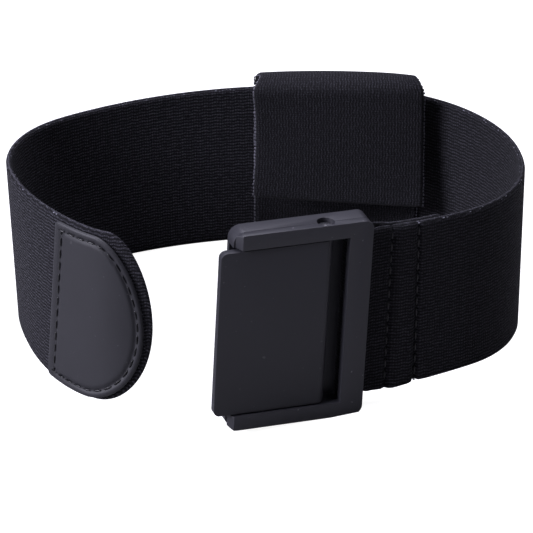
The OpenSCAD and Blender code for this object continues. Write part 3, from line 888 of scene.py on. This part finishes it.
def makePocketFlap():
    t = web["thickness"]
    cols = 50
    inset = edgeRoom / pocket["width"]
    u = inset + (1 - 2 * inset) * np.linspace(0, 1, cols)
    s, x, y = pocketLines(u)
    foldZ = pocket["foldZ"]
    back = webPoint(s, foldZ - halfWidth, -(t + pocket["webGap"]))
    back[:, 1] -= pocket["lean"]
    front = np.stack([x, y, np.full(cols, foldZ)], 1)
    rows = []
    side = 1 - 2 * u
    for a in np.linspace(0, math.pi, 25):  # over the fold, from the back layer to the flap
        middle, arm = (back + front) / 2, (back - front) / 2
        lift = pocket["foldRise"] + web["width"] - foldZ - t / 2 + 0.5 * mm * side
        row = middle + arm * math.cos(a)
        row[:, 2] += lift * math.sin(a) ** 0.9
        row[:, 0] -= pocket["tuck"] * math.sin(a) ** 3 * side ** 3
        rows.append(row)
    for z in stationList(foldZ, flapBottom + edgeRoom, 0.8 * mm)[1:]:
        rows.append(flapRow(u, z))
    grid = np.array(rows)
    for c in range(cols):
        grid[:, c] = np.stack([softened(grid[:, c, k], 0.8, 1.0) for k in range(3)], 1)
    run = np.concatenate([[0], np.cumsum(np.linalg.norm(np.diff(grid[:, cols // 2], axis=0), axis=1))])
    uv = np.stack(np.broadcast_arrays(-run[:, None], (s - s[0])[None, :]), -1)
    piece = slab("pocketFlap", grid, t, uv)
    piece.data.materials.append(innerWeave)
    outwards(piece)
    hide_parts("pocket_flap")
    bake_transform(piece)
    sides = [grid[:, 0] + (grid[:, 0] - grid[:, 1]), grid[:, -1] * 2 - grid[:, -2]]
    edges = selvageRow("pocketFlapSelvage", sides)
    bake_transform(edges)


def makePocketSeam():
    pitch = sewnFold["pitch"]
    along, up = pocket["seamStitches"]
    s0 = pocket["from"] + pocket["seamIn"]
    h0 = pocket["seamUp"] - halfWidth
    s1, h1 = s0 + along * pitch, h0 + up * pitch
    offset = web["thickness"] / 2 + 0.1 * mm
    corners = [(s0, h0), (s1, h0), (s1, h1), (s0, h1), (s0, h0)]
    lines = []
    for (a, b), (c, d) in zip(corners, corners[1:]):
        lines.append(webPoint(np.linspace(a, c, 30), np.linspace(b, d, 30), offset))
    settings = {"Pitch": pitch, "Length": sewnFold["stitchLength"], "Thickness": sewnFold["thread"]}
    piece = rowAlong("pocketSeam", lines, settings, threadMaterial)
    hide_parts("pocket_stitches")
    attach(piece, "strap")


pad = {
    "size": (24 * mm, 12 * mm),
    "backing": 0.5 * mm,
    "gap": 0.05 * mm,
    "height": 22.76 * mm,  # of its middle
    "pitch": 1.0 * mm,
}
hookTuft = {
    "lift": 0.2 * mm, "length": 0.3 * mm, "thickness": 0.62 * mm, "flatness": 1.0, "jitter": 0.06 * mm,
    "seed": 3,
}
loopTuft = {
    "lift": 0.15 * mm, "length": 0.9 * mm, "thickness": 0.6 * mm, "flatness": 0.9, "jitter": 0.16 * mm,
    "seed": 5,
}


def makePad(name, node, body, surface, inwards, tuft):
    # A woven backing with rows of hooks or loops standing on it
    wide, tall = pad["size"]
    u = 0.5 + np.linspace(-0.5, 0.5, 31) * wide / pocket["width"]
    z = pad["height"] + np.linspace(-0.5, 0.5, 17) * tall
    out = web["thickness"] / 2 + pad["gap"]
    base = np.stack([surface(u, at) for at in z])
    normal = gridNormals(base)
    normal *= np.sign((normal[..., 1] * inwards).sum())
    grid = base + normal * (out + pad["backing"] / 2)
    uv = np.stack(np.broadcast_arrays(z[:, None], (u * pocket["width"])[None, :]), -1)
    piece = slab(name, grid, pad["backing"], uv)
    piece.data.materials.append(padBacking)
    outwards(piece)
    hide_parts(node)
    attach(piece, body)
    top = base + normal * (out + pad["backing"] + tuft["lift"])
    lines = []
    for k in range(1, 16):
        # every other row is set half a pitch along
        lines.append(top[k, 1:-1] if k % 2 else (top[k, 1:-2] + top[k, 2:-1]) / 2)
    settings = {
        "Pitch": pad["pitch"], "Length": tuft["length"], "Thickness": tuft["thickness"],
        "Flatness": tuft["flatness"], "Jitter": tuft["jitter"], "Seed": tuft["seed"],
    }
    pile = rowAlong(name + "Pile", lines, settings, padPile)
    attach(pile, body)


def backRow(u, z):
    # The pocket's back layer at height z
    s = pocket["from"] + pocket["width"] * u
    return webPoint(s, z - web["rise"] - halfWidth, -(web["thickness"] + pocket["webGap"]))


def makePads():
    makePad("hookPad", "hook_pad", "strap", backRow, -1, hookTuft)
    makePad("loopPad", "loop_pad", "flap", flapRow, 1, loopTuft)


def webSelvage(name, stations):
    apart = selvage["apart"] * web["thickness"]
    lines = []
    for offset in (-apart, apart):
        lines += selvageLines(stations, np.full(len(stations), halfWidth - selvage["inset"]), offset)
    return selvageRow(name, lines)


def makeSelvages():
    piece = webSelvage("webMainSelvage", stationList(sewnFold["rows"][1], splitAt, 1 * mm))
    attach(piece, "strap")
    piece = webSelvage("webTailSelvage", stationList(splitAt, webEnd - 1.1 * tongue["reach"], 1 * mm))
    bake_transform(piece)


buckleFinish = {
    "buckle_rear": (bucklePlastic, "buckle", 0.32 * mm, "buckle"),
    "buckle_front": (bucklePlastic, "buckle", 0.4 * mm, "buckle"),
    "clamp_lever": (leverPlastic, "lever", 0.32 * mm, "lever"),
}
noseRadius = 0.8 * mm  # the front half's left end is rounded more
noseFrom = -16.5 * mm  # along the buckle, from its middle
sharpEdge = math.radians(20)


def makeBuckle():
    # Each moulded piece keeps its exact shape and gets the small edge radius of its mould
    for node, (material, slotName, radius, body) in buckleFinish.items():
        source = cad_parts[node]
        mesh = source.data.copy()
        piece = bpy.data.objects.new(node.replace("_", "") + "Moulded", mesh)
        bpy.context.scene.collection.objects.link(piece)
        work = bmesh.new()
        work.from_mesh(mesh)
        bmesh.ops.remove_doubles(work, verts=work.verts, dist=1e-6)
        bmesh.ops.dissolve_limit(work, angle_limit=math.radians(0.5), verts=work.verts, edges=work.edges)
        weight = work.edges.layers.float.new("bevel_weight_edge")
        middle, axis = fromBuckle(0, 0), unit(fromBuckle(1, 0) - fromBuckle(0, 0))
        for e in work.edges:
            if len(e.link_faces) == 2 and e.calc_face_angle() > sharpEdge:
                place = (np.array(e.verts[0].co) + np.array(e.verts[1].co)) / 2
                atNose = node == "buckle_front" and (place - middle) @ axis < noseFrom
                e[weight] = 1.0 if atNose else radius / noseRadius
        work.to_mesh(mesh)
        work.free()
        mesh.materials.clear()
        mesh.materials.append(material)
        mesh.polygons.foreach_set("use_smooth", [True] * len(mesh.polygons))
        bevel = piece.modifiers.new("mouldRadius", "BEVEL")
        bevel.width = noseRadius
        bevel.segments = 3
        bevel.limit_method = "WEIGHT"
        bevel.harden_normals = True
        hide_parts(node)
        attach(piece, body)
    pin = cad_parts["pivot_pin"].data
    pin.materials.clear()
    pin.materials.append(pinMaterial)


makeWebMain()
makeWebTail()
makeEndLoop()
makeFoldStitches()
print("web and its sewn fold made")
makeFacing()
makeTongueStitches()
print("tongue made")
makePocketBack()
makePocketFlap()
makePocketSeam()
makePads()
print("pocket made")
makeSelvages()
makeBuckle()
print("selvages and buckle made")


stage = {
    "floorSize": 6.0,
    "floorColour": (0.28, 0.28, 0.28, 1),
    "floorGlow": 0.95,
    "keyPower": 27.0,
    "fillPower": 27.0,
    "ambient": 0.02,
    "lightColour": (0.96, 0.945, 1.12),  # cool daylight
    "keyPlace": (-0.95, -0.42, 0.66),
    "keySize": 0.6,
    "fillPlace": (0.05, 0.26, 1.25),
    "fillSize": 0.8,
}


def makeFloor():
    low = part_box("buckle_front")[0]
    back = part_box("elastic_band")[1].y
    drop = min(low.z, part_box("buckle_rear")[0].z) - 0.0002
    slope = math.atan2(-drop, back - low.y)  # the band stands on the buckle's foot and its own back edge
    size = stage["floorSize"]
    mesh = bpy.data.meshes.new("floor")
    points = []
    for x, y in ((-1, -1), (1, -1), (1, 1), (-1, 1)):
        py = low.y + y * size
        points.append((x * size, py, drop + (py - low.y) * math.tan(slope)))
    mesh.from_pydata(points, [], [(0, 1, 2, 3)])
    floor = bpy.data.objects.new("floor", mesh)
    bpy.context.scene.collection.objects.link(floor)
    material = bpy.data.materials.new("floorPaper")
    material.use_nodes = True
    shader = next(n for n in material.node_tree.nodes if n.type == "BSDF_PRINCIPLED")
    shader.inputs["Base Color"].default_value = stage["floorColour"]
    shader.inputs["Roughness"].default_value = 0.9
    shader.inputs["Specular IOR Level"].default_value = 0.1
    # a softly lit table: it glows for the eye and throws little light back
    path = material.node_tree.nodes.new("ShaderNodeLightPath")
    glow = material.node_tree.nodes.new("ShaderNodeMath")
    glow.operation = "MULTIPLY"
    glow.inputs[1].default_value = stage["floorGlow"]
    material.node_tree.links.new(path.outputs["Is Camera Ray"], glow.inputs[0])
    material.node_tree.links.new(glow.outputs[0], shader.inputs["Emission Strength"])
    shader.inputs["Emission Color"].default_value = (1, 1, 1, 1)
    mesh.materials.append(material)


def areaLight(name, place, target, size, power):
    light = bpy.data.lights.new(name, "AREA")
    light.size = size
    light.energy = power
    light.color = stage["lightColour"]
    lamp = bpy.data.objects.new(name, light)
    lamp.location = place
    lamp.rotation_mode = "QUATERNION"
    lamp.rotation_quaternion = (Vector(place) - Vector(target)).to_track_quat("Z", "Y")
    bpy.context.scene.collection.objects.link(lamp)


def makeLights():
    centre = (0, 0, 0.02)
    areaLight("keySoftbox", stage["keyPlace"], centre, stage["keySize"], stage["keyPower"])
    areaLight("overhead", stage["fillPlace"], centre, stage["fillSize"], stage["fillPower"])
    world = bpy.data.worlds.new("studio")
    world.use_nodes = True
    background = world.node_tree.nodes.get("Background") or world.node_tree.nodes.new("ShaderNodeBackground")
    background.inputs[0].default_value = stage["lightColour"] + (1,)
    background.inputs[1].default_value = stage["ambient"]
    bpy.context.scene.world = world


lens = {"elevation": 29, "distance": 1.0, "aim": (0, -13.5 * mm, 20 * mm), "focal": 295.2, "sensor": 36}


def makeCamera():
    data = bpy.data.cameras.new("camera")
    data.lens = lens["focal"]
    data.sensor_width = lens["sensor"]
    data.clip_start = 0.05
    data.clip_end = 30
    camera = bpy.data.objects.new("camera", data)
    tilt = math.radians(lens["elevation"])
    aim = Vector(lens["aim"])
    camera.location = aim + Vector((0, -math.cos(tilt), math.sin(tilt))) * lens["distance"]
    camera.rotation_euler = (math.pi / 2 - tilt, 0, 0)
    bpy.context.scene.collection.objects.link(camera)
    bpy.context.scene.camera = camera


makeFloor()
makeLights()
makeCamera()
bpy.context.scene.view_settings.view_transform = "Standard"
print("stage set")
